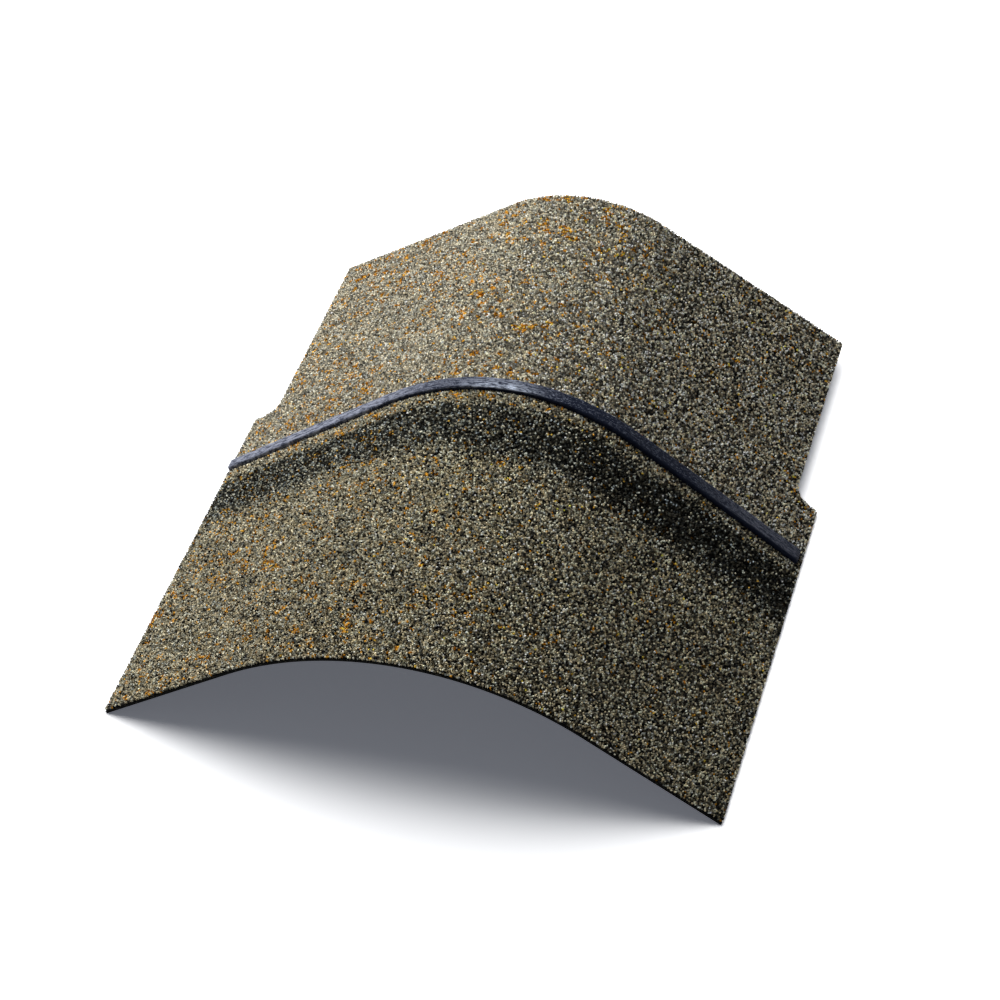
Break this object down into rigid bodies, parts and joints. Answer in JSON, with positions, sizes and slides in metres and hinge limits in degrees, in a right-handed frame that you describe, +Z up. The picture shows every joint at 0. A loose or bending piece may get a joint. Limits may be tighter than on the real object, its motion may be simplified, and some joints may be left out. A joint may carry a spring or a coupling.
{
  "type": "hip and ridge shingle",
  "caption": "Granule-surfaced asphalt shingle bent over a ridge, with notched sides at its head lap and a raised sealant strip across its top.",
  "frame": {"origin": "centre of the bounding box on the floor that the sheet's side edges stand on", "axes": "+Y along the ridge line from the exposed butt edge to the head edge, +X across the ridge to the side where the sealant strip stops short, +Z up"},
  "size_m": [0.2758, 0.3064, 0.0766],
  "materials": {
    "granule_sheet": "mineral granules in grey-green, tan, charcoal and ochre embedded in asphalt, with a darker band below the sealant strip",
    "sealant": "glossy blue-black asphalt sealant with fine lengthwise streaks"
  },
  "bodies": {
    "root": {"shingle_sheet": "granule_sheet", "sealant_strip": "sealant"}
  },
  "joints": []
}
